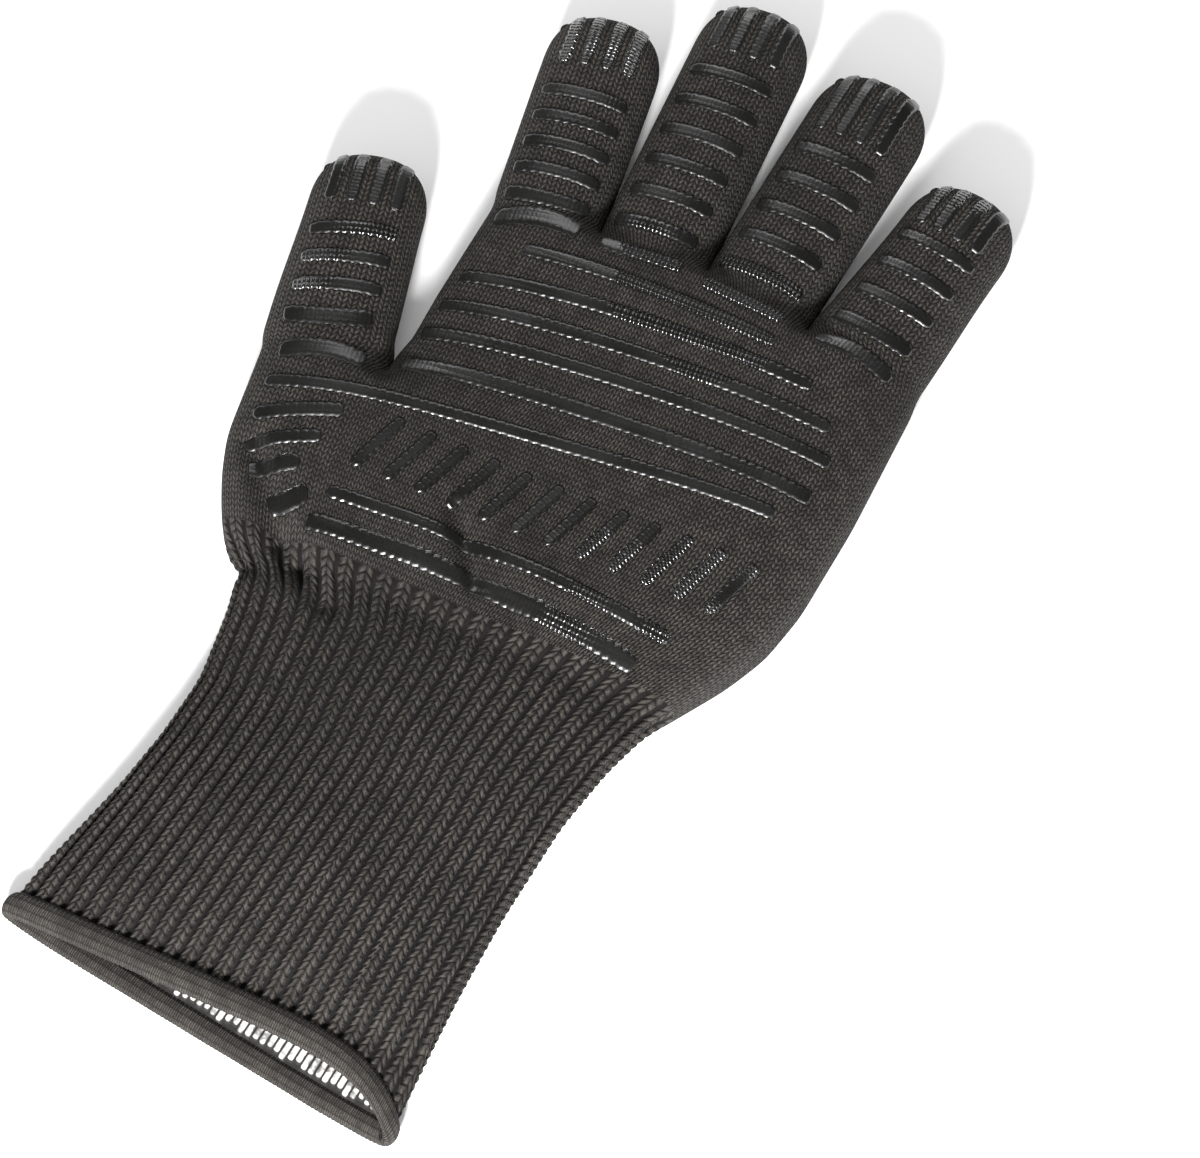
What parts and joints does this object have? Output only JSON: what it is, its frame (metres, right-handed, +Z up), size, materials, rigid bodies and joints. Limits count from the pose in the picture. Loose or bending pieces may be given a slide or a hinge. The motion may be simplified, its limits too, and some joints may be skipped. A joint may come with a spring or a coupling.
{
  "type": "heat resistant glove",
  "caption": "Knitted heat resistant glove with a grip print on its palm side, a cotton lining and a long ribbed cuff; fingers, thumb and cuff bend.",
  "frame": {"origin": "middle of the back of the hand, on the plane the glove lies on", "axes": "+Z up, out of the palm; +Y towards the fingertips; -X is the thumb's side"},
  "size_m": [0.1824, 0.35, 0.025],
  "materials": {
    "outer_knit": "dark grey-black knitted yarn, matt",
    "cotton_lining": "soft matt cotton jersey",
    "grip_print": "glossy black silicone",
    "binding": "fine dark grey knitted tape, matt"
  },
  "bodies": {
    "hand": {"hand_shell": "outer_knit", "hand_lining": "cotton_lining", "palm_stripes": "grip_print", "palm_bars": "grip_print"},
    "cuff": {"cuff_shell": "outer_knit", "cuff_lining": "cotton_lining", "cuff_binding": "binding", "cuff_grip_band": "grip_print"},
    "thumb_base": {"thumb_base_shell": "outer_knit", "thumb_base_lining": "cotton_lining", "thumb_base_stripes": "grip_print"},
    "thumb_tip": {"thumb_tip_shell": "outer_knit", "thumb_tip_lining": "cotton_lining", "thumb_tip_stripes": "grip_print", "thumb_yarn_tail": "outer_knit"},
    "index_base": {"index_base_shell": "outer_knit", "index_base_lining": "cotton_lining", "index_base_stripes": "grip_print"},
    "index_tip": {"index_tip_shell": "outer_knit", "index_tip_lining": "cotton_lining", "index_tip_stripes": "grip_print", "index_yarn_tail": "outer_knit"},
    "middle_base": {"middle_base_shell": "outer_knit", "middle_base_lining": "cotton_lining", "middle_base_stripes": "grip_print"},
    "middle_tip": {"middle_tip_shell": "outer_knit", "middle_tip_lining": "cotton_lining", "middle_tip_stripes": "grip_print", "middle_yarn_tail": "outer_knit"},
    "ring_base": {"ring_base_shell": "outer_knit", "ring_base_lining": "cotton_lining", "ring_base_stripes": "grip_print"},
    "ring_tip": {"ring_tip_shell": "outer_knit", "ring_tip_lining": "cotton_lining", "ring_tip_stripes": "grip_print", "ring_yarn_tail": "outer_knit"},
    "little_base": {"little_base_shell": "outer_knit", "little_base_lining": "cotton_lining", "little_base_stripes": "grip_print"},
    "little_tip": {"little_tip_shell": "outer_knit", "little_tip_lining": "cotton_lining", "little_tip_stripes": "grip_print", "little_yarn_tail": "outer_knit"}
  },
  "joints": [
    {"name": "thumb_knuckle", "type": "hinge", "parent": "hand", "child": "thumb_base", "pos_m": [-0.08651, 0.0179, 0.021], "axis": [0.9763, 0.2164, 0], "range_deg": [0, 50]},
    {"name": "thumb_middle", "type": "hinge", "parent": "thumb_base", "child": "thumb_tip", "pos_m": [-0.09071, 0.03684, 0.021], "axis": [0.9763, 0.2164, 0], "range_deg": [0, 75]},
    {"name": "index_knuckle", "type": "hinge", "parent": "hand", "child": "index_base", "pos_m": [-0.04893, 0.0763, 0.021], "axis": [1, 0, 0], "range_deg": [0, 80]},
    {"name": "index_middle", "type": "hinge", "parent": "index_base", "child": "index_tip", "pos_m": [-0.05177, 0.0942, 0.021], "axis": [1, 0, 0], "range_deg": [0, 85]},
    {"name": "middle_knuckle", "type": "hinge", "parent": "hand", "child": "middle_base", "pos_m": [-0.0167, 0.0833, 0.021], "axis": [1, 0, 0], "range_deg": [0, 80]},
    {"name": "middle_middle", "type": "hinge", "parent": "middle_base", "child": "middle_tip", "pos_m": [-0.01783, 0.1049, 0.021], "axis": [1, 0, 0], "range_deg": [0, 85]},
    {"name": "ring_knuckle", "type": "hinge", "parent": "hand", "child": "ring_base", "pos_m": [0.01697, 0.0816, 0.021], "axis": [1, 0, 0], "range_deg": [0, 80]},
    {"name": "ring_middle", "type": "hinge", "parent": "ring_base", "child": "ring_tip", "pos_m": [0.0181, 0.1032, 0.021], "axis": [1, 0, 0], "range_deg": [0, 85]},
    {"name": "little_knuckle", "type": "hinge", "parent": "hand", "child": "little_base", "pos_m": [0.05146, 0.0675, 0.021], "axis": [1, 0, 0], "range_deg": [0, 80]},
    {"name": "little_middle", "type": "hinge", "parent": "little_base", "child": "little_tip", "pos_m": [0.05425, 0.0887, 0.021], "axis": [1, 0, 0], "range_deg": [0, 85]},
    {"name": "wrist", "type": "hinge", "parent": "hand", "child": "cuff", "pos_m": [-0.0135, -0.08, 0.024], "axis": [-1, 0, 0], "range_deg": [0, 60]}
  ]
}
